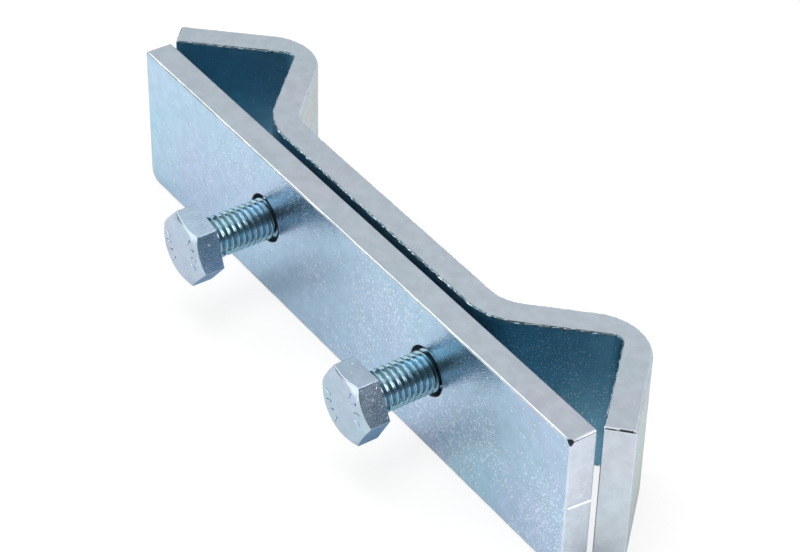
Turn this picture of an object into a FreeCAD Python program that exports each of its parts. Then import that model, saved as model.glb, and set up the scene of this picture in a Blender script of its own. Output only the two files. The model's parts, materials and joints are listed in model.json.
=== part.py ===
import FreeCAD, Part
import math
import os
from FreeCAD import Vector

# Railing clamp: a flat plate and a cranked strap, drawn together on two hex bolts over a pair of rails.
# Millimetres. X runs along the plate and Z is up. The clamp stands on its long edges, and its origin is
# the middle of the plate's lower edge. The bolts run along Y, with their heads on the -Y side.

# Flat bar that the plate and the strap are both cut from
bar_height = 30.0
bar_thickness = 5.5
rolled_edge_radius = 0.6
cut_edge_radius = 0.2

# Plate
plate_length = 135.0

# Strap: gaps are measured from the plate's clamping face, and the knee from the middle of the plate
middle_gap = 1.5
tip_gap = 1.1
knee_distance = 34.6
inner_leg_angle = 45.2
outer_leg_angle = 46.5
knee_back_radius = 8.5
pocket_root_radius = 1.8
pocket_crown_radius = 10.5

# Hex bolts with a thread right up to the head, screwed into the strap
bolt_diameter = 8.0
bolt_length = 30.0
bolt_end_chamfer = 0.8
head_across_flats = 13.0
head_height = 5.3
head_top_inset = 0.35
head_chamfer_angle = 30.0
washer_face_inset = 0.7
washer_face_height = 0.3

# Where the bolts sit: the row is a little right of the middle and above mid-height
bolt_spacing = 52.4
bolt_row_shift = 1.5
bolt_row_rise = 1.6
left_stand_off = 12.8
right_stand_off = 12.1
left_head_turn = 19.4
right_head_turn = 30.3

# Clearances round the bolts, on the radius
plate_hole_clearance = 0.75
thread_clearance = 0.05
thread_lead_in = 0.6

# Two points nearer than this are the same place
same_place = 1e-4

# Places that follow from the sizes above
plate_front = -bar_thickness / 2
plate_back = bar_thickness / 2
middle_front = plate_back + middle_gap
middle_back = middle_front + bar_thickness
left_bolt_x = bolt_row_shift - bolt_spacing / 2
right_bolt_x = bolt_row_shift + bolt_spacing / 2
bolt_axis_height = bar_height / 2 + bolt_row_rise
bolt_radius = bolt_diameter / 2
plate_hole_radius = bolt_radius + plate_hole_clearance
strap_hole_radius = bolt_radius + thread_clearance


def rounded_outline(corners):
    """Closed wire through (point, radius) corners, with an arc in each corner that has a radius."""
    edges = []
    ends = []
    for number, (point, radius) in enumerate(corners):
        before = corners[number - 1][0]
        after = corners[(number + 1) % len(corners)][0]
        to_before = (before - point).normalize()
        to_after = (after - point).normalize()
        if radius == 0:
            ends.append((point, point))
            continue
        half_angle = to_before.getAngle(to_after) / 2
        reach = radius / math.tan(half_angle)
        bisector = (to_before + to_after).normalize()
        middle = point + bisector * (radius / math.sin(half_angle) - radius)
        start = point + to_before * reach
        end = point + to_after * reach
        edges.append(Part.Arc(start, middle, end).toShape())
        ends.append((start, end))
    for number, (start, end) in enumerate(ends):
        leaving = ends[number - 1][1]
        edges.append(Part.LineSegment(leaving, start).toShape())
    return Part.Wire(Part.__sortEdges__(edges))


def bolt_hole(x, radius):
    """Cylinder along Y on a bolt's axis, from in front of the plate to well behind the strap."""
    start = Vector(x, plate_front - bar_thickness, bolt_axis_height)
    return Part.makeCylinder(radius, 2 * bolt_length, start, Vector(0, 1, 0))


def at_height(edge, height):
    """True where a whole edge lies on the level plane at the given height."""
    box = edge.BoundBox
    return abs(box.ZMin - height) < same_place and abs(box.ZMax - height) < same_place


def clamp_plate():
    """Length of flat bar with rolled long edges, cut ends and two clearance holes."""
    plate = Part.makeBox(plate_length, bar_thickness, bar_height, Vector(-plate_length / 2, plate_front, 0))
    long_edges = [edge for edge in plate.Edges if edge.BoundBox.XLength > plate_length / 2]
    plate = plate.makeFillet(rolled_edge_radius, long_edges)
    end_edges = []
    for edge in plate.Edges:
        box = edge.BoundBox
        if box.XLength < same_place and abs(abs(box.XMin) - plate_length / 2) < same_place:
            end_edges.append(edge)
    plate = plate.makeFillet(cut_edge_radius, end_edges)
    for x in (left_bolt_x, right_bolt_x):
        plate = plate.cut(bolt_hole(x, plate_hole_radius))
    return plate


def pocket_corners():
    """Corners of the right-hand pocket, along its clamping side to the tip and then back along its crown."""
    inner_slope = math.tan(math.radians(inner_leg_angle))
    outer_slope = math.tan(math.radians(outer_leg_angle))
    knee_turn = math.radians(inner_leg_angle) / 2
    tip_angle = math.radians(outer_leg_angle)

    knee_front = Vector(knee_distance, middle_front, 0)
    knee_back = Vector(knee_distance - bar_thickness * math.tan(knee_turn), middle_back, 0)
    tip_front = Vector(plate_length / 2, plate_back + tip_gap, 0)
    tip_back = tip_front + Vector(math.sin(tip_angle), math.cos(tip_angle), 0) * bar_thickness

    def meeting_point(knee, tip):
        """Point where the leg that rises from the knee meets the leg that rises from the tip."""
        rise = tip.y - knee.y + outer_slope * tip.x + inner_slope * knee.x
        x = rise / (inner_slope + outer_slope)
        return Vector(x, knee.y + inner_slope * (x - knee.x), 0)

    return [
        (knee_front, knee_back_radius + bar_thickness),
        (meeting_point(knee_front, tip_front), pocket_root_radius),
        (tip_front, 0),
        (tip_back, 0),
        (meeting_point(knee_back, tip_back), pocket_crown_radius),
        (knee_back, knee_back_radius),
    ]


def on_tip(edge, corners):
    """True where a whole edge lies on the cut end of either pocket's tip."""
    tip_front = corners[2][0]
    tip_back = corners[3][0]
    across = (tip_back - tip_front).normalize()
    along = Vector(across.y, -across.x, 0)
    for vertex in edge.Vertexes:
        offset = Vector(abs(vertex.X), vertex.Y, 0) - tip_front
        if abs(offset.dot(along)) > same_place:
            return False
    return True


def clamp_strap():
    """Bar bent into a flat middle and two pockets, with rolled edges and two tapped holes."""
    right = pocket_corners()
    left = [(Vector(-point.x, point.y, 0), radius) for point, radius in reversed(right)]
    profile = Part.Face(rounded_outline(right + left))
    strap = profile.extrude(Vector(0, 0, bar_height))
    rims = []
    for edge in strap.Edges:
        level = at_height(edge, 0) or at_height(edge, bar_height)
        if level and not on_tip(edge, right):
            rims.append(edge)
    strap = strap.makeFillet(rolled_edge_radius, rims)
    tips = [edge for edge in strap.Edges if on_tip(edge, right)]
    strap = strap.makeFillet(cut_edge_radius, tips)
    for x in (left_bolt_x, right_bolt_x):
        strap = strap.cut(bolt_hole(x, strap_hole_radius))
        for face, inward in ((middle_front, 1), (middle_back, -1)):
            mouth = Vector(x, face, bolt_axis_height)
            strap = strap.cut(Part.makeCone(
                strap_hole_radius + thread_lead_in, strap_hole_radius, thread_lead_in, mouth,
                Vector(0, inward, 0)))
    return strap


def hex_bolt(x, stand_off, head_turn):
    """Hex bolt along +Y whose head stands off the plate by the given distance."""
    bearing = plate_front - stand_off
    head_top = bearing - head_height
    hex_back = bearing - washer_face_height
    corner_radius = head_across_flats / 2 / math.cos(math.pi / 6)
    corners = []
    for number in range(6):
        angle = math.radians(90 + head_turn + 60 * number)
        corners.append(Vector(x + corner_radius * math.cos(angle), head_top,
                              bolt_axis_height + corner_radius * math.sin(angle)))
    hexagon = Part.Face(Part.makePolygon(corners + corners[:1]))
    head = hexagon.extrude(Vector(0, hex_back - head_top, 0))

    # The chamfer is a turned cone that takes the corners off the top of the head
    towards_shank = Vector(0, 1, 0)
    top_centre = Vector(x, head_top, bolt_axis_height)
    top_radius = head_across_flats / 2 - head_top_inset
    chamfer_depth = (corner_radius - top_radius) * math.tan(math.radians(head_chamfer_angle))
    turned = Part.makeCone(top_radius, corner_radius, chamfer_depth, top_centre, towards_shank)
    below = Part.makeCylinder(corner_radius, hex_back - head_top - chamfer_depth,
                              top_centre + towards_shank * chamfer_depth, towards_shank)
    head = head.common(turned.fuse(below))

    washer_face_radius = head_across_flats / 2 - washer_face_inset
    washer_face = Part.makeCylinder(washer_face_radius, washer_face_height,
                                    Vector(x, hex_back, bolt_axis_height), towards_shank)
    shank_length = bolt_length - bolt_end_chamfer
    shank = Part.makeCylinder(bolt_radius, shank_length, Vector(x, bearing, bolt_axis_height), towards_shank)
    end = Part.makeCone(bolt_radius, bolt_radius - bolt_end_chamfer, bolt_end_chamfer,
                        Vector(x, bearing + shank_length, bolt_axis_height), towards_shank)
    return head.fuse([washer_face, shank, end]).removeSplitter()


os.makedirs("parts", exist_ok=True)
pieces = {
    "clamp_plate": clamp_plate(),
    "clamp_strap": clamp_strap(),
    "left_bolt": hex_bolt(left_bolt_x, left_stand_off, left_head_turn),
    "right_bolt": hex_bolt(right_bolt_x, right_stand_off, right_head_turn),
}
for node, shape in pieces.items():
    shape.exportStep("parts/" + node + ".step")
    print(node, "valid", shape.isValid(), "solids", len(shape.Solids), "volume", round(shape.Volume, 1))
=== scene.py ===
import json
import math

import bmesh
import bpy
from mathutils import Matrix, Vector


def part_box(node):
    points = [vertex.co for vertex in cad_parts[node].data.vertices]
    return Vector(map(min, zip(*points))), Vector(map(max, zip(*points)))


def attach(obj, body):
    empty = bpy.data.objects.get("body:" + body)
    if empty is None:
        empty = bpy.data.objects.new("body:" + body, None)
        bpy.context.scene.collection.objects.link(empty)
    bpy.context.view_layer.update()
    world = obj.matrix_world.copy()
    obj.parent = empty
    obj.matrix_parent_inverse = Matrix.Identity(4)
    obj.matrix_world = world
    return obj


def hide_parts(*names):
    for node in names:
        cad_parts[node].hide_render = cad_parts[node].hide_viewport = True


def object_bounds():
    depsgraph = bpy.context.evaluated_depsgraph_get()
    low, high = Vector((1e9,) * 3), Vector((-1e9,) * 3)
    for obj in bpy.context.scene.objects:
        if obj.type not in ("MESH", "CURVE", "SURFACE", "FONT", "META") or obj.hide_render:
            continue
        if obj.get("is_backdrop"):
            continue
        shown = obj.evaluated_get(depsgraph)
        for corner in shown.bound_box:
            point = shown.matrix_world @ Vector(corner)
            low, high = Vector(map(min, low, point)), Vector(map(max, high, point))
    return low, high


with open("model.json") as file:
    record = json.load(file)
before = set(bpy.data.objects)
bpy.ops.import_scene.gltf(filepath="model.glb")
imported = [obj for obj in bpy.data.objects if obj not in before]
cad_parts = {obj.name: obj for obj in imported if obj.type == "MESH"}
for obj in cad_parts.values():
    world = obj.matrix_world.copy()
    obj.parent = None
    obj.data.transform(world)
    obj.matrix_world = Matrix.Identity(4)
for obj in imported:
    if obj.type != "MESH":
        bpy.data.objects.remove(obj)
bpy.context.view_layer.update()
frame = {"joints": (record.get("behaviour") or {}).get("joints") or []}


# Clamp plate: a sheared length of rolled flat bar with two punched clearance holes, zinc plated and then
# passivated to a pale blue. It hangs loosely on the two bolts, between their heads and the strap.
plate_low, plate_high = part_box("clamp_plate")
plate_size = plate_high - plate_low
plate_middle = (plate_low + plate_high) / 2
rolled_edge_radius = 0.00040
rolled_edge_steps = 4
shortest_long_edge = rolled_edge_radius / 10
clamping_edge_radius = 0.00028
cut_edge_radius = 0.00032
end_top_radius = 0.0006
worn_corner_radius = 0.0024
worn_corner_steps = 6
corner_chip = 0.00115
chip_reach = 1.1 * corner_chip
plate_hole_radius = 0.00475
plate_hole_rim = 0.0003
plate_hole_rim_steps = 3
punch_length = 4 * plate_size.y
shear_line_height = 0.0150
shear_line_half_width = 0.00005
shear_line_foot = 0.00027
shear_line_proud = 0.00026
shear_line_slope = 0.11
front_edge_steps = 70
front_edge_dents = 0.00004
front_edge_seed = 13
circle_steps = 96
bar_smooth_angle = math.radians(40)
flat_face_weight = 60
bolt_axes = {}
for joint in frame["joints"]:
    if joint["type"] == "hinge":
        bolt_axes[joint["child"]] = Vector(joint["pos_m"])

# Points a hairline apart count as one, and a point this clear of a flat face belongs to the round beside it
hairline = 1e-6
clear_of_flat = 1e-5
hole_tolerance = 2e-5

# Shares of a face's normal that tell a face square to an axis, a flat face and the rounds between them
square_share = 0.99
flat_share = 0.95
round_share = 0.97
lean_share = 0.1
end_lean_share = 0.05
steep_share = 0.9
chip_share = 0.2


def choose(piece):
    """Selects one piece alone, and makes it the active one."""
    bpy.ops.object.select_all(action="DESELECT")
    piece.select_set(True)
    bpy.context.view_layer.objects.active = piece


def edit(piece):
    """Opens one piece in edit mode, with nothing else selected."""
    choose(piece)
    bpy.ops.object.mode_set(mode="EDIT")


def pick(piece, kind, wanted):
    """In edit mode, selects the vertices, edges or faces of a piece that are wanted."""
    bpy.ops.mesh.select_mode(type=kind)
    bpy.ops.mesh.select_all(action="DESELECT")
    mesh = bmesh.from_edit_mesh(piece.data)
    for item in {"VERT": mesh.verts, "EDGE": mesh.edges, "FACE": mesh.faces}[kind]:
        if wanted(item):
            item.select_set(True)
    mesh.select_flush_mode()
    bmesh.update_edit_mesh(piece.data)


def split(piece, wanted, point, across):
    """In edit mode, divides the wanted faces of a piece along a plane through a point."""
    pick(piece, "FACE", wanted)
    bpy.ops.mesh.bisect(plane_co=point, plane_no=across, threshold=hairline)


def apply_modifier(piece, name, kind, **settings):
    """Adds a modifier with its settings to a piece, and applies it."""
    modifier = piece.modifiers.new(name, kind)
    for setting, value in settings.items():
        setattr(modifier, setting, value)
    choose(piece)
    bpy.ops.object.modifier_apply(modifier=name)


def combine(piece, tool, operation):
    """Cuts a tool out of a piece, joins it on or keeps what both share, and removes the tool."""
    apply_modifier(piece, operation.lower(), "BOOLEAN", operation=operation, object=tool, solver="EXACT")
    bpy.data.objects.remove(tool)


def round_edges(piece, edge_radius, largest):
    """Rounds each edge of a piece by the radius that a function gives for it, none over the largest."""
    edit(piece)
    mesh = bmesh.from_edit_mesh(piece.data)
    share = mesh.edges.layers.float.new("bevel_weight_edge")
    for edge in mesh.edges:
        edge[share] = edge_radius(edge) / largest
    bpy.ops.object.mode_set(mode="OBJECT")
    apply_modifier(piece, "edges", "BEVEL", width=largest, segments=rolled_edge_steps,
                   limit_method="WEIGHT", use_clamp_overlap=False)


def smooth_metal(piece, angle):
    """Smooths what bends gently, keeps corners crisp, and lets the flat faces stay flat."""
    choose(piece)
    bpy.ops.object.shade_smooth_by_angle(angle=angle)
    apply_modifier(piece, "flat_faces", "WEIGHTED_NORMAL", keep_sharp=True, weight=flat_face_weight)


bpy.ops.object.select_all(action="DESELECT")
bpy.ops.mesh.primitive_cube_add(size=1, location=plate_middle)
plate = bpy.context.object
plate.name = "zinc_plate"
plate.scale = plate_size
bpy.ops.object.transform_apply(location=True, rotation=True, scale=True)
chipped_corner = Vector((plate_high.x, plate_low.y, plate_high.z))


def on_worn_corner(edge):
    """True for the edge through the bar at the lower corner of the left end."""
    return all(vertex.co.x < 0 and vertex.co.z < plate_middle.z for vertex in edge.verts)


# The lower corner at the left is worn round, and a chip is missing from the upper one at the right
edit(plate)
pick(plate, "EDGE", on_worn_corner)
bpy.ops.mesh.bevel(offset=worn_corner_radius, segments=worn_corner_steps, affect="EDGES")
pick(plate, "VERT", lambda vertex: (vertex.co - chipped_corner).length < hairline)
bpy.ops.mesh.bevel(offset=corner_chip, segments=1, affect="VERTICES")
bpy.ops.object.mode_set(mode="OBJECT")


def plate_edge_radius(edge):
    """Radius that rolling, the shear or wear gave an edge of the plate, and 0 at the chip or in a face."""
    first, second = (vertex.co for vertex in edge.verts)
    if max((first - chipped_corner).length, (second - chipped_corner).length) < chip_reach:
        return 0.0
    run = second - first
    if abs(run.x) < hairline and abs(abs(first.x) - plate_high.x) < hairline:
        upper = min(first.z, second.z) > plate_high.z - hairline
        return end_top_radius if upper else cut_edge_radius
    if abs(run.x) > shortest_long_edge and abs(run.y) < hairline:
        return rolled_edge_radius if first.y < 0 else clamping_edge_radius
    return 0.0


# The bar's long edges are rounded by rolling, and its sheared ends are sharper but worn broad at the top
round_edges(plate, plate_edge_radius, end_top_radius)

# Punched holes, with their rims drawn in by the punch
for axis in bolt_axes.values():
    bpy.ops.object.select_all(action="DESELECT")
    bpy.ops.mesh.primitive_cylinder_add(
        vertices=circle_steps, radius=plate_hole_radius, depth=punch_length,
        location=(axis.x, 0, axis.z), rotation=(math.pi / 2, 0, 0))
    combine(plate, bpy.context.object, "DIFFERENCE")


def at_hole(point, axis):
    """True for a point at a punched hole's radius from its axis, which runs along Y."""
    away = math.hypot(point.x - axis.x, point.z - axis.z)
    return abs(away - plate_hole_radius) < hole_tolerance


def on_hole_rim(edge):
    """True for an edge round a punched hole, on the plate's front or back."""
    first, second = (vertex.co for vertex in edge.verts)
    level = abs(first.y - second.y) < hairline
    on_face = abs(abs(first.y) - plate_high.y) < hairline
    around = any(at_hole(first, axis) and at_hole(second, axis) for axis in bolt_axes.values())
    return level and on_face and around


edit(plate)
pick(plate, "EDGE", on_hole_rim)
bpy.ops.mesh.bevel(offset=plate_hole_rim, segments=plate_hole_rim_steps, affect="EDGES")


def on_end(face):
    """True for a face of either sheared end."""
    return abs(face.normal.x) > square_share


def on_shear_line(face):
    """True for the middle strip of the ridge on an end face."""
    middle = face.calc_center_median()
    height = middle.z + shear_line_slope * middle.y - shear_line_height
    return on_end(face) and abs(height) < shear_line_half_width


# A ridge across each end, where the two cracks of the shear met
for offset in (-shear_line_foot, -shear_line_half_width, shear_line_half_width, shear_line_foot):
    split(plate, on_end, (0, 0, shear_line_height + offset), (0, shear_line_slope, 1))
for side in (-1, 1):
    pick(plate, "FACE", lambda face: on_shear_line(face) and face.normal.x * side > 0)
    bpy.ops.transform.translate(value=(side * shear_line_proud, 0, 0))


def on_front_round(face):
    """True for a face of the rolled rounds along the front, top and bottom."""
    leans = face.normal.y < -lean_share and abs(face.normal.z) > lean_share
    return leans and abs(face.normal.x) < end_lean_share


def in_front_round(vertex):
    """True for a point in those rounds, clear of the flat faces on both sides and of the plate's ends."""
    up = min(vertex.co.z - plate_low.z, plate_high.z - vertex.co.z)
    inward = vertex.co.y - plate_low.y
    inside = min(up, inward) > clear_of_flat and max(up, inward) < rolled_edge_radius - clear_of_flat
    return inside and abs(vertex.co.x) < plate_high.x - worn_corner_radius


def dent(depth, seed):
    """Pushes the selected points in by uneven amounts, none of them out past where they were."""
    bpy.ops.transform.shrink_fatten(value=-depth)
    bpy.ops.transform.vertex_random(offset=depth, uniform=0.0, normal=1.0, seed=seed)


# The front edges have picked up small dents along their length
for step in range(1, front_edge_steps):
    split(plate, on_front_round, (plate_low.x + plate_size.x * step / front_edge_steps, 0, 0), (1, 0, 0))
pick(plate, "VERT", in_front_round)
dent(front_edge_dents, front_edge_seed)
bpy.ops.object.mode_set(mode="OBJECT")
smooth_metal(plate, bar_smooth_angle)

# Shader nodes are laid out in columns and rows of this size
node_column = 200
node_row = 220


def add_node(tree, kind, place, **settings):
    """Adds a node to a tree with its settings, at a place in columns and rows."""
    node = tree.nodes.new(kind)
    node.location = (node_column * place[0], -node_row * place[1])
    for setting, value in settings.items():
        setattr(node, setting, value)
    return node


def new_group(name, inputs, outputs):
    """Starts a shader node group, with its sockets given as (name, kind, default)."""
    group = bpy.data.node_groups.new(name, "ShaderNodeTree")
    for label, kind, default in inputs:
        socket = group.interface.new_socket(name=label, in_out="INPUT", socket_type=kind)
        if default is not None:
            socket.default_value = default
    for label, kind in outputs:
        group.interface.new_socket(name=label, in_out="OUTPUT", socket_type=kind)
    start = add_node(group, "NodeGroupInput", (0, 0))
    end = add_node(group, "NodeGroupOutput", (9, 0))
    return group, start, end


def noise(tree, place, vector, scale, detail, roughness=0.5):
    """Adds a noise texture on a vector, and gives its value."""
    node = add_node(tree, "ShaderNodeTexNoise", place)
    node.inputs["Scale"].default_value = scale
    node.inputs["Detail"].default_value = detail
    node.inputs["Roughness"].default_value = roughness
    tree.links.new(vector, node.inputs["Vector"])
    return node.outputs["Fac"]


def spread(tree, place, value, low, high, to_low=0.0, to_high=1.0):
    """Adds a smooth step that takes a value from one range to another."""
    node = add_node(tree, "ShaderNodeMapRange", place, interpolation_type="SMOOTHSTEP")
    tree.links.new(value, node.inputs["Value"])
    node.inputs["From Min"].default_value = low
    node.inputs["From Max"].default_value = high
    node.inputs["To Min"].default_value = to_low
    node.inputs["To Max"].default_value = to_high
    return node.outputs["Result"]


def mixed(tree, place, factor, first, second, blend="MIX"):
    """Adds a colour mix of two sockets or colours, and gives its result."""
    node = add_node(tree, "ShaderNodeMix", place, data_type="RGBA", blend_type=blend)
    for label, value in (("Factor", factor), ("A", first), ("B", second)):
        if isinstance(value, (float, tuple)):
            node.inputs[label].default_value = value
        else:
            tree.links.new(value, node.inputs[label])
    return node.outputs["Result"]


def maths(tree, place, operation, first, second):
    """Adds one sum of two sockets or numbers, and gives its result."""
    node = add_node(tree, "ShaderNodeMath", place, operation=operation)
    for socket, value in zip(node.inputs, (first, second)):
        if isinstance(value, float):
            socket.default_value = value
        else:
            tree.links.new(value, socket)
    return node.outputs["Value"]


# Passivation film: its colour drifts between pale blue, lilac and cyan in soft clouds, over a fine mottle
lilac_clouds_per_metre = 55.0
lilac_range = (0.42, 0.68)
cyan_clouds_per_metre = 38.0
cyan_range = (0.50, 0.74)
mottles_per_metre = 420.0
mottle_range = (0.3, 0.7)
mottle_shades = (0.93, 1.05)
plain_tint = (0.4, 0.5, 0.6, 1)
film, film_in, film_out = new_group(
    "passivation_film",
    [("Vector", "NodeSocketVector", None), ("Pale", "NodeSocketColor", plain_tint),
     ("Lilac", "NodeSocketColor", plain_tint), ("Cyan", "NodeSocketColor", plain_tint)],
    [("Colour", "NodeSocketColor")])
film_place = film_in.outputs["Vector"]
lilac_patch = noise(film, (1, 0), film_place, lilac_clouds_per_metre, detail=2.0)
lilac_patch = spread(film, (2, 0), lilac_patch, *lilac_range)
cyan_patch = noise(film, (1, 1), film_place, cyan_clouds_per_metre, detail=3.0)
cyan_patch = spread(film, (2, 1), cyan_patch, *cyan_range)
film_colour = mixed(film, (3, 0), lilac_patch, film_in.outputs["Pale"], film_in.outputs["Lilac"])
film_colour = mixed(film, (4, 0), cyan_patch, film_colour, film_in.outputs["Cyan"])
mottle = noise(film, (2, 2), film_place, mottles_per_metre, detail=4.0, roughness=0.6)
mottle = spread(film, (3, 2), mottle, *mottle_range, *mottle_shades)
mottle_colour = add_node(film, "ShaderNodeCombineColor", (4, 2))
for channel in ("Red", "Green", "Blue"):
    film.links.new(mottle, mottle_colour.inputs[channel])
film_colour = mixed(film, (5, 0), 1.0, film_colour, mottle_colour.outputs["Color"], "MULTIPLY")
film.links.new(film_colour, film_out.inputs["Colour"])

# Plating grain: fine zinc crystals, dull pits, and bright specks that gather and thin out to the left
crystals_per_metre = 3400.0
crystal_height = 0.9
waves_per_metre = 240.0
specks_per_metre = 2560.0
speck_size = 0.42
speck_height = 0.75
speck_gatherings_per_metre = 48.0
speck_gathering_range = (0.42, 0.64)
speck_gathering_shares = (0.10, 1.0)
speck_thinning_along_x = (-0.060, 0.010)
speck_thinning_shares = (0.08, 1.0)
pits_per_metre = 520.0
pit_size = 0.12
pit_share = 0.12
dot_core = 0.4
least_dot_stretch = 0.6
gloss_spots_per_metre = 700.0
gloss_range = (0.3, 0.7)
grain, grain_in, grain_out = new_group(
    "plating_grain",
    [("Vector", "NodeSocketVector", None), ("Smoothest", "NodeSocketFloat", 0.2),
     ("Roughest", "NodeSocketFloat", 0.3), ("Density", "NodeSocketFloat", 0.5)],
    [("Height", "NodeSocketFloat"), ("Roughness", "NodeSocketFloat"), ("Specks", "NodeSocketFloat"),
     ("Pits", "NodeSocketFloat")])
grain_place = grain_in.outputs["Vector"]
grain_density = grain_in.outputs["Density"]


def dots(row, per_metre, size, share):
    """Adds scattered dots to the grain, one at most in each cell, in the given share of the cells."""
    cells = add_node(grain, "ShaderNodeTexVoronoi", (3, row))
    cells.inputs["Scale"].default_value = per_metre
    grain.links.new(grain_place, cells.inputs["Vector"])
    parts = add_node(grain, "ShaderNodeSeparateColor", (4, row + 1))
    grain.links.new(cells.outputs["Color"], parts.inputs["Color"])
    uneven = maths(grain, (4, row + 2), "ADD", parts.outputs["Green"], least_dot_stretch)
    away = maths(grain, (5, row + 2), "MULTIPLY", cells.outputs["Distance"], uneven)
    dot = spread(grain, (6, row + 2), away, size * dot_core, size, 1.0, 0.0)
    kept = maths(grain, (5, row + 1), "LESS_THAN", parts.outputs["Red"], share)
    return maths(grain, (6, row), "MULTIPLY", dot, kept)


gathered = noise(grain, (1, 3), grain_place, speck_gatherings_per_metre, detail=2.0)
gathered = spread(grain, (2, 3), gathered, *speck_gathering_range, *speck_gathering_shares)
gathered = maths(grain, (3, 2), "MULTIPLY", gathered, grain_density)
along = add_node(grain, "ShaderNodeSeparateXYZ", (1, 4))
grain.links.new(grain_place, along.inputs["Vector"])
rightward = spread(grain, (2, 4), along.outputs["X"], *speck_thinning_along_x, *speck_thinning_shares)
gathered = maths(grain, (4, 2), "MULTIPLY", gathered, rightward)
specks = dots(3, specks_per_metre, speck_size, gathered)
pitted = maths(grain, (3, 8), "MULTIPLY", grain_density, pit_share)
pits = dots(6, pits_per_metre, pit_size, pitted)
crystal = noise(grain, (1, 0), grain_place, crystals_per_metre, detail=1.0, roughness=0.6)
wave = noise(grain, (1, 1), grain_place, waves_per_metre, detail=2.0)
crystal = maths(grain, (2, 0), "MULTIPLY", crystal, crystal_height)
height = maths(grain, (3, 0), "ADD", crystal, wave)
raised = maths(grain, (7, 0), "MULTIPLY", specks, speck_height)
height = maths(grain, (8, 0), "ADD", height, raised)
grain.links.new(height, grain_out.inputs["Height"])
rough = add_node(grain, "ShaderNodeMapRange", (3, 1))
gloss_spots = noise(grain, (2, 1), grain_place, gloss_spots_per_metre, detail=3.0)
grain.links.new(gloss_spots, rough.inputs["Value"])
rough.inputs["From Min"].default_value = gloss_range[0]
rough.inputs["From Max"].default_value = gloss_range[1]
grain.links.new(grain_in.outputs["Smoothest"], rough.inputs["To Min"])
grain.links.new(grain_in.outputs["Roughest"], rough.inputs["To Max"])
grain.links.new(rough.outputs["Result"], grain_out.inputs["Roughness"])
grain.links.new(specks, grain_out.inputs["Specks"])
grain.links.new(pits, grain_out.inputs["Pits"])

# Specks are the pale colour raised to this power, pits are this share of it, and the grain is this deep
speck_power = 0.36
pit_shade = 0.3
grain_depth = 0.0001
pale_grazing = (0.8, 0.85, 0.9)


def metal(name, pale, lilac, cyan, smoothest, roughest, density, relief, grazing=pale_grazing):
    """Makes plated steel, or a near-black painted shade, from the film and grain, with its own colours,
    gloss and specks.
    """
    material = bpy.data.materials.new(name)
    material.use_nodes = True
    tree = material.node_tree
    shader = tree.nodes["Principled BSDF"]
    shader.inputs["Metallic"].default_value = 1.0
    shader.inputs["Specular Tint"].default_value = (*grazing, 1.0)
    place = add_node(tree, "ShaderNodeTexCoord", (-6, 0)).outputs["Object"]
    tint = add_node(tree, "ShaderNodeGroup", (-5, 0), node_tree=film)
    crystals = add_node(tree, "ShaderNodeGroup", (-5, 1), node_tree=grain)
    tree.links.new(place, tint.inputs["Vector"])
    tree.links.new(place, crystals.inputs["Vector"])
    for label, colour in (("Pale", pale), ("Lilac", lilac), ("Cyan", cyan)):
        tint.inputs[label].default_value = (*colour, 1.0)
    crystals.inputs["Smoothest"].default_value = smoothest
    crystals.inputs["Roughest"].default_value = roughest
    crystals.inputs["Density"].default_value = density
    bright = tuple(channel ** speck_power for channel in pale)
    dull = tuple(pit_shade * channel for channel in pale)
    colour = mixed(tree, (-3, 0), crystals.outputs["Specks"], tint.outputs["Colour"], (*bright, 1.0))
    colour = mixed(tree, (-2, 0), crystals.outputs["Pits"], colour, (*dull, 1.0))
    tree.links.new(colour, shader.inputs["Base Color"])
    tree.links.new(crystals.outputs["Roughness"], shader.inputs["Roughness"])
    bump = add_node(tree, "ShaderNodeBump", (-2, 2))
    bump.inputs["Strength"].default_value = relief
    bump.inputs["Distance"].default_value = grain_depth
    tree.links.new(crystals.outputs["Height"], bump.inputs["Height"])
    tree.links.new(bump.outputs["Normal"], shader.inputs["Normal"])
    return material


face_zinc = metal("rolled_face_zinc", (0.395, 0.535, 0.665), (0.42, 0.515, 0.665), (0.36, 0.545, 0.655),
                  smoothest=0.20, roughest=0.27, density=1.15, relief=0.40)
# Darker and more teal on the faces in the slit and the pockets: the zinc's own tone, partly deepened as a
# painted shade
clamping_zinc_and_shade = metal("clamping_face_zinc_and_painted_shade", (0.225, 0.49, 0.635), (0.24, 0.48, 0.635), (0.21, 0.50, 0.625),
                   smoothest=0.36, roughest=0.44, density=1.3, relief=0.16)
edge_zinc = metal("rolled_edge_zinc", (0.45, 0.51, 0.57), (0.47, 0.50, 0.565), (0.43, 0.52, 0.565),
                  smoothest=0.30, roughest=0.38, density=0.012, relief=0.06)
round_zinc = metal("rolled_round_zinc", (0.46, 0.52, 0.57), (0.48, 0.51, 0.57), (0.44, 0.53, 0.57),
                   smoothest=0.26, roughest=0.34, density=0.3, relief=0.36)
# Lighter on the sheared ends and the tips' broken edges: partly the cut metal's own tone, partly painted
# light
lightened_cut_zinc = metal("sheared_end_zinc_painted_light", (0.56, 0.62, 0.69), (0.58, 0.61, 0.69), (0.54, 0.63, 0.68),
                 smoothest=0.26, roughest=0.34, density=0.0, relief=0.10)
# Near black: a painted shade on the chip's face and on marks along the tips' broken upper edges
near_black_painted_shade = metal("near_black_painted_shade", (0.06, 0.07, 0.08), (0.07, 0.07, 0.08), (0.05, 0.07, 0.08),
                   smoothest=0.40, roughest=0.55, density=0.0, relief=0.30)
lightened_cut_depth = 0.9 * cut_edge_radius


def coat(piece, base, others):
    """Gives a piece its base material, and each other material to the faces that are wanted for it."""
    piece.data.materials.clear()
    piece.data.materials.append(base)
    edit(piece)
    for material, wanted in others:
        piece.data.materials.append(material)
        pick(piece, "FACE", wanted)
        piece.active_material_index = len(piece.data.materials) - 1
        bpy.ops.object.material_slot_assign()
    bpy.ops.object.mode_set(mode="OBJECT")


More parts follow.
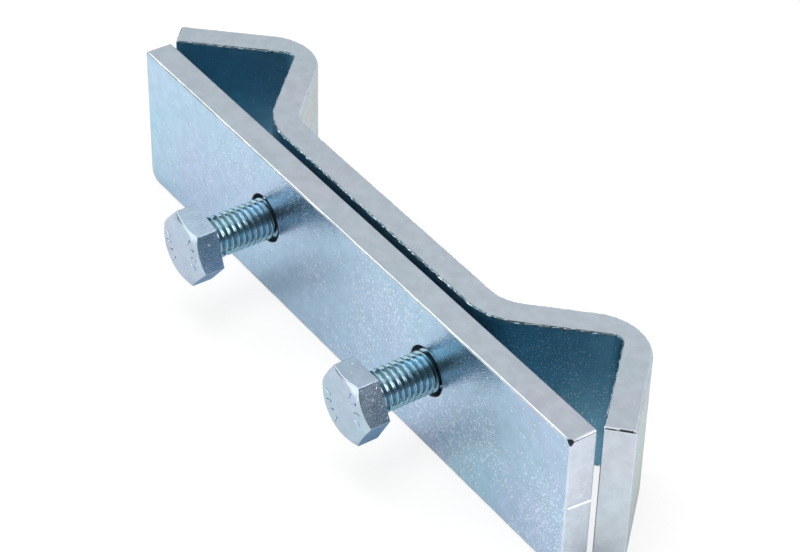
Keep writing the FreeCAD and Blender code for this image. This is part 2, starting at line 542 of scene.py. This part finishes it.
def on_plate_round(face):
    """True for a round between the plate's flat faces, but not where it turns into an end."""
    return max(abs(value) for value in face.normal) < round_share and abs(face.normal.x) < steep_share


def on_cut_end(face):
    """True for a face of either sheared end, or of most of the round about it."""
    return abs(face.calc_center_median().x) > plate_high.x - lightened_cut_depth


def on_chip(face):
    """True for the face that the missing chip left."""
    away = face.calc_center_median() - chipped_corner
    return away.length < corner_chip and min(abs(value) for value in face.normal) > chip_share


coat(plate, edge_zinc, [
    (face_zinc, lambda face: face.normal.y < -flat_share),
    (clamping_zinc_and_shade, lambda face: face.normal.y > flat_share),
    (round_zinc, on_plate_round),
    (lightened_cut_zinc, on_cut_end),
    (near_black_painted_shade, on_chip),
])
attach(plate, "plate")
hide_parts("clamp_plate")


# Clamp strap: the same flat bar, bent in a press to a flat middle with a V-shaped pocket at each end, then
# zinc plated. Its two holes are tapped: the bolts draw it against the plate, and each pocket grips a rail.
strap_low, strap_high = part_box("clamp_strap")
bar_thickness = plate_size.y
middle_gap = 0.0015
tip_gap = 0.0011
knee_distance = 0.0346
inner_leg_angle = math.radians(45.2)
outer_leg_angle = math.radians(46.5)
knee_back_radius = 0.0085
knee_steps = 24
pocket_root_radius = 0.0018
pocket_steps = 26
pocket_crown_radius = 0.0105
tapped_hole_radius = 0.00405
tapped_hole_lead_in = 0.0006
strap_step = 0.0004
fewest_steps = 2
longest_rim_step = 0.6 * bar_thickness
tip_edge_radius = 0.00025
tip_top_radius = 0.0005
tip_run = 0.0016
pocket_edge_dents = 0.00007
pocket_edge_seed = 11
outer_edge_dents = 0.00006
outer_edge_seed = 12
strap_top = strap_high.z
strap_bottom = strap_low.z
middle_front = plate_high.y + middle_gap
middle_back = middle_front + bar_thickness

# Each painted shade mark on a tip: its start and stop in shares of the bar's thickness, and its reach up the
# round
tip_shade_marks = [(0.09, 0.38, 0.75), (0.48, 0.89, 0.90)]
shade_mark_foot = 0.25

# Right-hand pocket: directions along its two legs, out of the inner leg, and through the bar at the tip
rising = Vector((math.cos(inner_leg_angle), math.sin(inner_leg_angle), 0))
falling = Vector((math.cos(outer_leg_angle), -math.sin(outer_leg_angle), 0))
out_of_inner_leg = Vector((math.sin(inner_leg_angle), -math.cos(inner_leg_angle), 0))
across_tip = Vector((math.sin(outer_leg_angle), math.cos(outer_leg_angle), 0))

# Corners of the clamping side: the knee, the root of the pocket, and the tip
inner_slope = math.tan(inner_leg_angle)
outer_slope = math.tan(outer_leg_angle)
tip_front = Vector((plate_high.x, plate_high.y + tip_gap, 0))
knee_front = Vector((knee_distance, middle_front, 0))


def meeting_point(knee, tip):
    """Point where the leg that rises from the knee meets the leg that rises from the tip."""
    rise = tip.y - knee.y + outer_slope * tip.x + inner_slope * knee.x
    x = rise / (inner_slope + outer_slope)
    return Vector((x, knee.y + inner_slope * (x - knee.x), 0))


root_front = meeting_point(knee_front, tip_front)
knee_back = Vector((knee_distance - bar_thickness * math.tan(inner_leg_angle / 2), middle_back, 0))
tip_back = tip_front + bar_thickness * across_tip
crown_back = meeting_point(knee_back, tip_back)
pocket_turn = inner_leg_angle + outer_leg_angle
knee_reach = (knee_back_radius + bar_thickness) * math.tan(inner_leg_angle / 2)
root_reach = pocket_root_radius * math.tan(pocket_turn / 2)

# The bar starts as its own section at the middle, and is drawn out towards the right-hand tip
bpy.ops.object.select_all(action="DESELECT")
bpy.ops.mesh.primitive_plane_add(
    size=1, rotation=(0, math.pi / 2, 0),
    location=(0, (middle_front + middle_back) / 2, (strap_bottom + strap_top) / 2))
strap = bpy.context.object
strap.name = "zinc_strap"
strap.scale = (strap_top - strap_bottom, bar_thickness, 1)
bpy.ops.object.transform_apply(location=True, rotation=True, scale=True)


def draw_out(way, length):
    """Extrudes the selected section along a straight run, in even steps."""
    steps = max(fewest_steps, round(length / strap_step))
    for step in range(steps):
        bpy.ops.mesh.extrude_region_move(TRANSFORM_OT_translate={"value": way * (length / steps)})


edit(strap)
bpy.ops.mesh.select_all(action="SELECT")
draw_out(Vector((1, 0, 0)), knee_distance - knee_reach)
knee_centre = Vector((knee_distance - knee_reach, middle_back + knee_back_radius, 0))
bpy.ops.mesh.spin(steps=knee_steps, angle=-inner_leg_angle, center=knee_centre, axis=(0, 0, 1))
draw_out(rising, (root_front - knee_front).length - knee_reach - root_reach)
root_start = root_front - rising * root_reach
root_centre = root_start + pocket_root_radius * out_of_inner_leg
bpy.ops.mesh.spin(steps=pocket_steps, angle=pocket_turn, center=root_centre, axis=(0, 0, 1))
draw_out(falling, (tip_front - root_front).length - root_reach - tip_run)
bpy.ops.mesh.extrude_region_move(TRANSFORM_OT_translate={"value": falling * tip_run})

# The left half mirrors the right, with nothing left of the section between them
pick(strap, "FACE", lambda face: abs(face.calc_center_median().x) < hairline)
bpy.ops.mesh.delete(type="FACE")
bpy.ops.object.mode_set(mode="OBJECT")
apply_modifier(strap, "left_half", "MIRROR", use_axis=(True, False, False), merge_threshold=hairline)
edit(strap)
bpy.ops.mesh.select_all(action="SELECT")
bpy.ops.mesh.remove_doubles(threshold=hairline)
bpy.ops.mesh.normals_make_consistent(inside=False)
bpy.ops.object.mode_set(mode="OBJECT")

# Bending stretches the outside of each pocket, so its crown is flatter than its root
half_crown = (math.pi - pocket_turn) / 2
crown_bisector = (falling - rising).normalized()
crown_reach = pocket_crown_radius / math.tan(half_crown)
for side in (-1, 1):
    centre = crown_back + crown_bisector * (pocket_crown_radius / math.sin(half_crown))
    centre.x *= side
    corner = Vector((side * crown_back.x, crown_back.y, 0))
    stretched = strap.vertex_groups.new(name="crown")
    for vertex in strap.data.vertices:
        flat = Vector((vertex.co.x, vertex.co.y, 0))
        outside = (flat - centre).length > pocket_crown_radius - hairline
        if outside and (flat - corner).length < crown_reach:
            stretched.add([vertex.index], 1.0, "REPLACE")
    bpy.ops.object.empty_add(location=centre)
    pivot = bpy.context.object
    apply_modifier(strap, "crown", "CAST", cast_type="CYLINDER", factor=1.0, object=pivot, use_z=False,
                   size=pocket_crown_radius, use_radius_as_size=False, vertex_group="crown")
    bpy.data.objects.remove(pivot)
    strap.vertex_groups.remove(strap.vertex_groups["crown"])

# Shares of a face's normal that tell the strap's upright sides, the rounds beside them and its cut tips
upright_share = 0.5
side_share = 0.2
cut_share = 0.3


def tip_depth(point):
    """Distance of a point back from the cut end of the nearer pocket's outer leg."""
    return (tip_front - Vector((abs(point.x), point.y, 0))).dot(falling)


def on_strap_rim(edge, side):
    """True for a long edge of the strap, top or bottom, on its clamping side (-1) or its outer side (1)."""
    first, second = (vertex.co for vertex in edge.verts)
    level = abs(first.z - second.z) < hairline
    run = (Vector((first.x, first.y, 0)) - Vector((second.x, second.y, 0))).length
    beside = any(abs(face.normal.z) < upright_share and face.normal.y * side > 0 for face in edge.link_faces)
    return level and run < longest_rim_step and beside


def strap_edge_radius(edge):
    """Radius that rolling, the shear or wear gave an edge of the strap, and 0 within a face."""
    if all(tip_depth(vertex.co) < hairline for vertex in edge.verts):
        upper = all(vertex.co.z > strap_top - hairline for vertex in edge.verts)
        return tip_top_radius if upper else tip_edge_radius
    if on_strap_rim(edge, -1):
        return clamping_edge_radius
    if on_strap_rim(edge, 1):
        return rolled_edge_radius
    return 0.0


# The long edges are rounded by rolling, and the upper edge of each sheared tip is broken
round_edges(strap, strap_edge_radius, tip_top_radius)


def on_tip_round(face):
    """True for a face of the broken upper edge of either cut end."""
    middle = face.calc_center_median()
    at_tip = middle.z > strap_top - tip_top_radius and tip_depth(middle) < tip_top_radius
    return at_tip and lean_share < face.normal.z < square_share


def in_strap_round(vertex, radius):
    """True for a point in the round of a long edge, clear of the flat faces beside it and of the tips."""
    up = min(vertex.co.z - strap_bottom, strap_top - vertex.co.z)
    return clear_of_flat < up < radius - clear_of_flat and tip_depth(vertex.co) > tip_run / 2


# The broken edge of each tip is divided where its painted shade marks start and stop
edit(strap)
for side in (-1, 1):
    mirrored = Vector((side, 1, 1))
    for start, stop, reach in tip_shade_marks:
        for place in (start, stop):
            point = tip_front + across_tip * (place * bar_thickness)
            split(strap, on_tip_round, point * mirrored, across_tip * mirrored)

# The long edges have picked up small dents on both sides of the strap
pick(strap, "VERT", lambda vertex: in_strap_round(vertex, clamping_edge_radius) and vertex.normal.y < 0)
dent(pocket_edge_dents, pocket_edge_seed)
pick(strap, "VERT", lambda vertex: in_strap_round(vertex, rolled_edge_radius) and vertex.normal.y > 0)
dent(outer_edge_dents, outer_edge_seed)
bpy.ops.object.mode_set(mode="OBJECT")

# Tapped holes, with a small lead-in on both faces
flare = 2 * tapped_hole_lead_in
widen = (tapped_hole_radius + flare) / tapped_hole_radius
for axis in bolt_axes.values():
    bpy.ops.object.select_all(action="DESELECT")
    bpy.ops.mesh.primitive_cylinder_add(
        vertices=circle_steps, radius=tapped_hole_radius, depth=bar_thickness - 2 * tapped_hole_lead_in,
        location=(axis.x, (middle_front + middle_back) / 2, axis.z), rotation=(math.pi / 2, 0, 0))
    drill = bpy.context.object
    bpy.ops.object.transform_apply(location=True, rotation=True, scale=True)
    edit(drill)
    for side in (-1, 1):
        pick(drill, "FACE", lambda face: face.normal.y * side > flat_share)
        bpy.ops.mesh.extrude_region_move(TRANSFORM_OT_translate={"value": (0, side * flare, 0)})
        bpy.ops.transform.resize(value=(widen, 1, widen), center_override=(axis.x, 0, axis.z))
    bpy.ops.object.mode_set(mode="OBJECT")
    combine(strap, drill, "DIFFERENCE")
smooth_metal(strap, bar_smooth_angle)

# The plating is duller on the strap's outer side, and its clamping side's burred rounds are a dark painted
# shade
outer_zinc = metal("outer_face_zinc", (0.46, 0.52, 0.53), (0.48, 0.51, 0.53), (0.44, 0.53, 0.53),
                   smoothest=0.52, roughest=0.60, density=0.4, relief=0.14, grazing=(0.80, 0.84, 0.84))
# Dark teal on the rounds of the clamping side: a painted shade, running on from the shade in the pockets and
# the slit
clamping_round_painted_shade = metal("clamping_round_painted_shade_zinc", (0.11, 0.17, 0.20), (0.08, 0.13, 0.16), (0.14, 0.22, 0.25),
                  smoothest=0.24, roughest=0.36, density=1.0, relief=0.20)
tip_zinc = metal("sheared_tip_zinc", (0.47, 0.53, 0.58), (0.49, 0.52, 0.58), (0.45, 0.54, 0.58),
                 smoothest=0.28, roughest=0.36, density=0.0, relief=0.10)


def on_cut_tip(face):
    """True for a face of either cut end or of the round about it."""
    return tip_depth(face.calc_center_median()) < tip_edge_radius


def on_tip_shade_mark(face):
    """True for the parts of the broken upper edge that get a near-black painted shade."""
    middle = face.calc_center_median()
    across = (Vector((abs(middle.x), middle.y, 0)) - tip_front).dot(across_tip) / bar_thickness
    shade_marked = any(start < across < stop and shade_mark_foot < face.normal.z < reach
                  for start, stop, reach in tip_shade_marks)
    return shade_marked and on_tip_round(face)


def tip_facing(face):
    """How squarely a face looks out along the nearer pocket's outer leg, up to 1."""
    side = 1 if face.calc_center_median().x > 0 else -1
    return face.normal.x * side * falling.x + face.normal.y * falling.y


coat(strap, edge_zinc, [
    (outer_zinc, lambda face: abs(face.normal.z) < side_share and face.normal.y > 0),
    (clamping_zinc_and_shade, lambda face: abs(face.normal.z) < side_share and face.normal.y < 0),
    (round_zinc, lambda face: side_share < abs(face.normal.z) < round_share),
    (clamping_round_painted_shade, lambda face: side_share < abs(face.normal.z) < steep_share and face.normal.y < 0),
    (lightened_cut_zinc, lambda face: on_cut_tip(face) and abs(face.normal.z) < cut_share),
    (tip_zinc, lambda face: on_cut_tip(face) and tip_facing(face) > round_share),
    (lightened_cut_zinc, on_tip_round),
    (near_black_painted_shade, on_tip_shade_mark),
])
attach(strap, "strap")
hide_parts("clamp_strap")


# Hex bolts: two cold-forged M8 screws with a rolled thread right up to the head, zinc plated. They pass
# through the plate's clearance holes and screw into the strap, and both stand part of the way in.
head_across_flats = 0.013
head_height = 0.0053
head_top_inset = 0.0006
head_chamfer_angle = math.radians(30)
head_edge_round = 0.00012
head_edge_angle = math.radians(25)
head_merge_distance = 0.00003
washer_face_inset = 0.0007
washer_face_height = 0.0003
bolt_length = 0.030
bolt_end_chamfer = 0.0008
thread_pitch = 0.00125
thread_crest_radius = 0.00396
thread_root_radius = 0.00327
thread_start = 2.8 * thread_pitch
thread_turn_steps = 48
head_turns = {"left_bolt": math.radians(19.4), "right_bolt": math.radians(30.3)}
tick_angles = [math.radians(angle) for angle in (-33, -11, 11, 33, 147, 169, 191, 213)]
tick_middle = 0.0045
tick_size = Vector((0.0015, 0.0005, 0.0005))
tick_proud = 0.00016
tick_round = 0.00014
bolt_smooth_angle = math.radians(35)

# One turn of the thread, as steps outwards and down in shares of its depth and of its pitch
thread_profile = [(0.06, 0.08), (1.10, 0.31), (0.0, 0.14), (-1.10, 0.31), (-0.06, 0.16)]

# The head is a hexagon cut by a turned cone. It is modelled upright, with the bearing face at height zero
head_face = head_height - tick_proud
hex_height = head_face - washer_face_height
corner_radius = head_across_flats / 2 / math.cos(math.pi / 6)
top_radius = head_across_flats / 2 - head_top_inset
chamfer_depth = (corner_radius - top_radius) * math.tan(head_chamfer_angle)
bpy.ops.object.select_all(action="DESELECT")
bpy.ops.mesh.primitive_cylinder_add(
    vertices=6, radius=corner_radius, depth=hex_height, location=(0, 0, washer_face_height + hex_height / 2))
bolt = bpy.context.object
bolt.name = "zinc_bolt"
bpy.ops.object.transform_apply(location=True, rotation=True, scale=True)

# The cone's blank is a little wider than the hexagon's corners, so that it cuts nothing but the chamfer
blank_margin = 0.02
blank_radius = (1 + blank_margin) * corner_radius
cone_height = chamfer_depth + blank_margin * corner_radius * math.tan(head_chamfer_angle)
narrow = top_radius / blank_radius
bpy.ops.object.select_all(action="DESELECT")
bpy.ops.mesh.primitive_cylinder_add(
    vertices=circle_steps, radius=blank_radius, depth=2 * (head_face - chamfer_depth), location=(0, 0, 0))
blank = bpy.context.object
edit(blank)
pick(blank, "FACE", lambda face: face.normal.z > flat_share)
bpy.ops.mesh.extrude_region_move(TRANSFORM_OT_translate={"value": (0, 0, cone_height)})
bpy.ops.transform.resize(value=(narrow, narrow, 1), center_override=(0, 0, 0))
bpy.ops.object.mode_set(mode="OBJECT")
combine(bolt, blank, "INTERSECT")
edit(bolt)
bpy.ops.mesh.select_all(action="SELECT")
bpy.ops.mesh.remove_doubles(threshold=head_merge_distance)
bpy.ops.mesh.select_mode(type="EDGE")
bpy.ops.mesh.select_all(action="DESELECT")
bpy.ops.mesh.edges_select_sharp(sharpness=head_edge_angle)
bpy.ops.mesh.bevel(offset=head_edge_round, segments=2, affect="EDGES")
bpy.ops.object.mode_set(mode="OBJECT")

# Washer face under the head
bpy.ops.object.select_all(action="DESELECT")
bpy.ops.mesh.primitive_cylinder_add(
    vertices=circle_steps, radius=head_across_flats / 2 - washer_face_inset, depth=2 * washer_face_height,
    location=(0, 0, washer_face_height))
combine(bolt, bpy.context.object, "UNION")

# Thread: one turn of its profile, wound down the shank, then topped to its outer size with a chamfered end
bpy.ops.object.select_all(action="DESELECT")
bpy.ops.mesh.primitive_plane_add(size=thread_pitch)
thread = bpy.context.object
thread.name = "rolled_thread"
edit(thread)
bpy.ops.mesh.select_mode(type="VERT")
bpy.ops.mesh.select_all(action="SELECT")
bpy.ops.mesh.merge(type="CENTER")
bpy.ops.transform.translate(value=(thread_root_radius, 0, thread_start))
thread_depth = thread_crest_radius - thread_root_radius
for out, down in thread_profile:
    way = Vector((out * thread_depth, 0, -down * thread_pitch))
    bpy.ops.mesh.extrude_vertices_move(TRANSFORM_OT_translate={"value": way})
bpy.ops.object.mode_set(mode="OBJECT")
turns = math.ceil((bolt_length + thread_start) / thread_pitch) + 1
apply_modifier(thread, "turns", "SCREW", axis="Z", angle=-math.tau, screw_offset=-thread_pitch,
               iterations=turns, steps=thread_turn_steps, render_steps=thread_turn_steps,
               use_merge_vertices=True, merge_threshold=hairline)
edit(thread)
bpy.ops.mesh.select_all(action="SELECT")
bpy.ops.mesh.remove_doubles(threshold=hairline)
pick(thread, "EDGE", lambda edge: edge.is_boundary)
bpy.ops.mesh.edge_face_add()
bpy.ops.mesh.select_all(action="SELECT")
bpy.ops.mesh.normals_make_consistent(inside=False)
bpy.ops.object.mode_set(mode="OBJECT")

# The shank's outer form, from just inside the washer face to the chamfered end
shank_top = washer_face_height / 2
narrow = (thread_crest_radius - bolt_end_chamfer) / thread_crest_radius
bpy.ops.object.select_all(action="DESELECT")
bpy.ops.mesh.primitive_cylinder_add(
    vertices=circle_steps, radius=thread_crest_radius, depth=bolt_length - bolt_end_chamfer + shank_top,
    location=(0, 0, (shank_top - bolt_length + bolt_end_chamfer) / 2))
shank = bpy.context.object
edit(shank)
pick(shank, "FACE", lambda face: face.normal.z < -flat_share)
bpy.ops.mesh.extrude_region_move(TRANSFORM_OT_translate={"value": (0, 0, -bolt_end_chamfer)})
bpy.ops.transform.resize(value=(narrow, narrow, 1), center_override=(0, 0, 0))
bpy.ops.object.mode_set(mode="OBJECT")
combine(thread, shank, "INTERSECT")


def join(piece, other):
    """Makes another object part of a piece, with each keeping its own surface."""
    choose(piece)
    other.select_set(True)
    bpy.ops.object.join()


join(bolt, thread)

# Two rows of short raised ticks on the head
tick_height = head_height - tick_size.z / 2
for angle in tick_angles:
    tick_place = (tick_middle * math.cos(angle), tick_middle * math.sin(angle), tick_height)
    bpy.ops.object.select_all(action="DESELECT")
    bpy.ops.mesh.primitive_cube_add(size=1, rotation=(0, 0, angle), scale=tick_size, location=tick_place)
    tick = bpy.context.object
    bpy.ops.object.transform_apply(location=True, rotation=True, scale=True)
    edit(tick)
    bpy.ops.mesh.select_all(action="SELECT")
    bpy.ops.mesh.bevel(offset=tick_round, segments=2, affect="EDGES")
    bpy.ops.object.mode_set(mode="OBJECT")
    join(bolt, tick)

# The bolts' plating turns teal at a grazing angle, apart from the tops of the heads
teal_grazing = (0.36, 0.52, 0.70)
head_zinc = metal("bolt_head_zinc", (0.395, 0.485, 0.57), (0.415, 0.475, 0.57), (0.375, 0.495, 0.56),
                  smoothest=0.18, roughest=0.26, density=0.03, relief=0.10)
side_zinc = metal("bolt_side_zinc", (0.385, 0.495, 0.605), (0.405, 0.485, 0.605), (0.365, 0.505, 0.605),
                  smoothest=0.20, roughest=0.28, density=0.06, relief=0.50, grazing=teal_grazing)
# Dark on the bearing face under each head: a painted shade where it faces the plate
bearing_painted_shade = metal("bolt_bearing_painted_shade_zinc", (0.13, 0.20, 0.26), (0.14, 0.19, 0.26), (0.12, 0.21, 0.26),
                   smoothest=0.24, roughest=0.32, density=0.2, relief=0.14, grazing=teal_grazing)
thread_zinc = metal("bolt_thread_zinc", (0.34, 0.50, 0.57), (0.36, 0.49, 0.57), (0.32, 0.51, 0.57),
                    smoothest=0.14, roughest=0.20, density=0.1, relief=0.05, grazing=(0.4, 0.6, 0.7))


def on_head_top(face):
    """True for the top of the head, its chamfer and the tops of the ticks."""
    return face.normal.z > upright_share and face.calc_center_median().z > hex_height / 2


def under_head(face):
    """True for a face that looks down, at the head's bearing side or lower."""
    return face.normal.z < -upright_share and face.calc_center_median().z < 2 * washer_face_height


coat(bolt, side_zinc, [
    (head_zinc, on_head_top),
    (bearing_painted_shade, under_head),
    (thread_zinc, lambda face: face.calc_center_median().z < -clear_of_flat),
])

# Each bolt is a copy with its own mesh, turned as it stands and laid along Y with its head at the front
for body, turn in head_turns.items():
    low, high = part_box(body)
    fitted = bpy.data.objects.new("zinc_" + body, bolt.data.copy())
    bpy.context.scene.collection.objects.link(fitted)
    axis = bolt_axes[body]
    lay_down = Matrix.Rotation(math.pi / 2, 4, "X") @ Matrix.Rotation(turn, 4, "Z")
    fitted.matrix_world = Matrix.Translation((axis.x, high.y - bolt_length, axis.z)) @ lay_down
    choose(fitted)
    bpy.ops.object.transform_apply(location=True, rotation=True, scale=True)
    smooth_metal(fitted, bolt_smooth_angle)
    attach(fitted, body)
    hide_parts(body)
bpy.data.objects.remove(bolt)


# Floor: a plain sheet of matt white board that the clamp stands on, wide enough to fill the view. It belongs
# to the studio and not to the clamp, and it takes the clamp's soft shadow.
floor_size = 6.0
floor_drop = 0.0001
floor_colour = (0.80, 0.80, 0.80, 1.0)
white = (1.0, 1.0, 1.0, 1.0)
bpy.ops.object.select_all(action="DESELECT")
bpy.ops.mesh.primitive_plane_add(size=floor_size, location=(0, 0, -floor_drop))
floor = bpy.context.object
floor.name = "studio_floor"
floor_paint = bpy.data.materials.new("floor_paint")
floor_paint.use_nodes = True
floor_tree = floor_paint.node_tree
floor_shader = floor_tree.nodes["Principled BSDF"]
floor_shader.inputs["Base Color"].default_value = floor_colour
floor_shader.inputs["Roughness"].default_value = 1.0
floor_shader.inputs["Specular IOR Level"].default_value = 0.0
floor.data.materials.append(floor_paint)

# It is whitened for the camera, and less so in the metal's reflections, but still takes the clamp's shadow
white_for_camera = 0.80
white_in_metal = 0.08
light_path = add_node(floor_tree, "ShaderNodeLightPath", (-4, 0))
seen = maths(floor_tree, (-3, 0), "MULTIPLY", light_path.outputs["Is Camera Ray"], white_for_camera)
mirrored = maths(floor_tree, (-3, 1), "MAXIMUM", light_path.outputs["Is Glossy Ray"],
                 light_path.outputs["Is Transmission Ray"])
mirrored = maths(floor_tree, (-2, 1), "MULTIPLY", mirrored, white_in_metal)
whitened = maths(floor_tree, (-1, 0), "MAXIMUM", seen, mirrored)
glow = add_node(floor_tree, "ShaderNodeEmission", (0, 2))
glow.inputs["Color"].default_value = white
glow.inputs["Strength"].default_value = 1.0
floor_mix = add_node(floor_tree, "ShaderNodeMixShader", (2, 0))
floor_tree.links.new(whitened, floor_mix.inputs["Fac"])
floor_tree.links.new(floor_shader.outputs["BSDF"], floor_mix.inputs[1])
floor_tree.links.new(glow.outputs["Emission"], floor_mix.inputs[2])
floor_tree.links.new(floor_mix.outputs["Shader"], floor_tree.nodes["Material Output"].inputs["Surface"])
floor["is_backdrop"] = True


# Studio light: a soft round lamp overhead, which gives the floor its shadows and doesn't show in the metal,
# in an even white room. The metal mirrors the room's soft lights, and its darker side round the camera.
lamp_place = (0, -0.08, 0.8)
lamp_size = 0.46
lamp_power = 3.2
bpy.ops.object.select_all(action="DESELECT")
bpy.ops.object.light_add(type="AREA", location=lamp_place)
lamp = bpy.context.object
lamp.name = "overhead_lamp"
lamp.data.shape = "DISK"
lamp.data.size = lamp_size
lamp.data.energy = lamp_power
lamp.visible_glossy = False
lamp.visible_camera = False
room_level = 0.30

# Each light's direction, the angles in degrees where it fades out and where it is full, and its strength
lights = {
    "overhead, to the front": ((-0.10, -0.43, 0.89), 32, 14, 1.5),
    "high on the left": ((-0.68, -0.25, 0.69), 22, 10, 3.0),
    "broad, behind on the left": ((-0.60, 0.42, 0.68), 46, 24, 0.64),
    "low in front": ((-0.25, -0.96, 0.12), 32, 14, 1.8),
    "behind on the right": ((0.60, 0.45, 0.66), 24, 10, 2.6),
    "overhead, to the back": ((0.0, 0.35, 0.93), 26, 10, 0.8),
    "low behind": ((-0.1, 0.97, 0.2), 40, 18, 0.8),
}

# A shade is given in the same way, and takes that share of the light away
shades = {
    "round the camera": ((0.64, -0.45, 0.62), 30, 14, 0.55),
}
world = bpy.data.worlds.new("studio")
bpy.context.scene.world = world
world.use_nodes = True
sky = world.node_tree
way = add_node(sky, "ShaderNodeTexCoord", (-8, 0)).outputs["Generated"]


def patch(row, direction, outer, inner):
    """Soft round patch of the room in a direction, from 0 at the outer angle to 1 at the inner one."""
    dot = add_node(sky, "ShaderNodeVectorMath", (-7, row), operation="DOT_PRODUCT")
    sky.links.new(way, dot.inputs[0])
    dot.inputs[1].default_value = Vector(direction).normalized()
    faintest = math.cos(math.radians(outer))
    fullest = math.cos(math.radians(inner))
    return spread(sky, (-6, row), dot.outputs["Value"], faintest, fullest)


level = room_level
for row, (direction, outer, inner, strength) in enumerate(lights.values()):
    added = maths(sky, (-5, row), "MULTIPLY", patch(row, direction, outer, inner), strength)
    level = maths(sky, (-4, row), "ADD", added, level)
for row, (direction, outer, inner, strength) in enumerate(shades.values(), start=len(lights)):
    kept = maths(sky, (-5, row), "MULTIPLY", patch(row, direction, outer, inner), -strength)
    kept = maths(sky, (-4, row), "ADD", kept, 1.0)
    level = maths(sky, (-3, row), "MULTIPLY", level, kept)
sky.links.new(level, sky.nodes["Background"].inputs["Strength"])
sky.nodes["Background"].inputs["Color"].default_value = white


# Camera: a long lens above the clamp and off its right-hand end, on the side of the bolt heads. It looks
# down along the plate, so that the near end stands large and the far pocket still shows.
camera_place = Vector((0.298163, -0.199808, 0.300637))
camera_right = Vector((0.56505, 0.82485, 0.01862))
camera_down = Vector((0.51850, -0.33745, -0.78567))
camera_view = Vector((-0.64178, 0.45360, -0.61836))
camera_lens = 114.467
sensor_width = 36
nearest_seen = 0.01
camera_data = bpy.data.cameras.new("camera")
camera_data.sensor_fit = "HORIZONTAL"
camera_data.sensor_width = sensor_width
camera_data.lens = camera_lens
camera_data.clip_start = nearest_seen
camera = bpy.data.objects.new("camera", camera_data)
bpy.context.scene.collection.objects.link(camera)
turned = Matrix((camera_right, -camera_down, -camera_view)).transposed().to_4x4()
camera.matrix_world = Matrix.Translation(camera_place) @ turned
bpy.context.scene.camera = camera
bpy.context.scene.view_settings.view_transform = "Standard"

low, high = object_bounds()
